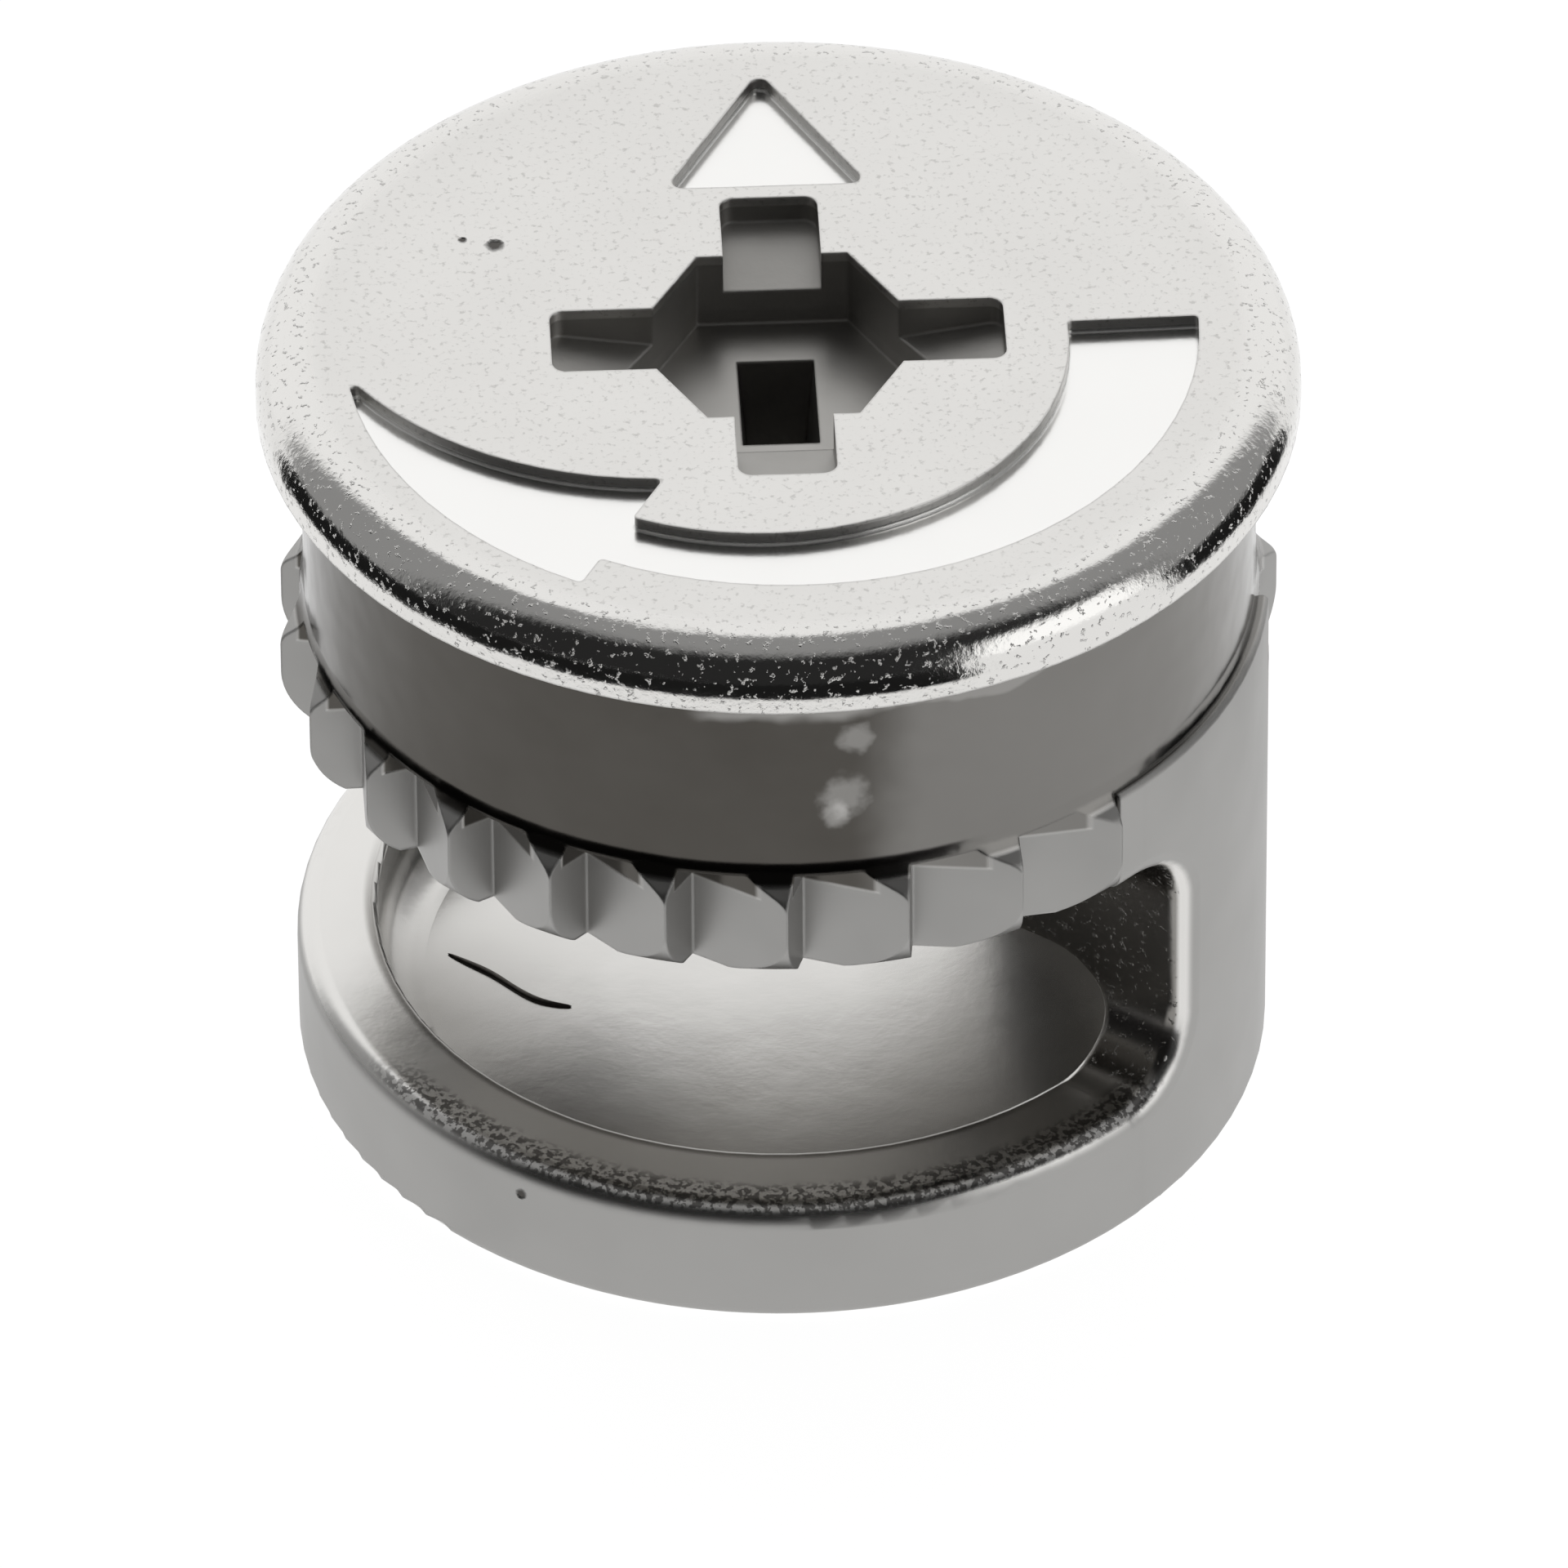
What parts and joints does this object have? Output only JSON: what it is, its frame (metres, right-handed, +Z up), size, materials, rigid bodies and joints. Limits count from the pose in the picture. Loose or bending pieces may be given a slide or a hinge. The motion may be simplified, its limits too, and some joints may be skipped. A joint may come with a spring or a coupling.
{
  "type": "cam lock fitting",
  "caption": "Round cam connector housing: rimmed cap with hexagon and cross recess, sawtooth ring, side wall and base disc around an open bolt channel with a round rear port.",
  "frame": {"origin": "middle of the base's underside, on the turning axis", "axes": "+Z up along the turning axis to the cap, +Y towards the connecting bolt, the way the triangle on the cap points"},
  "size_m": [0.0159, 0.0158, 0.0132],
  "materials": {
    "nickel_plate": "bright nickel plating over a die-cast surface"
  },
  "bodies": {
    "root": {"cam_housing": "nickel_plate"}
  },
  "joints": []
}
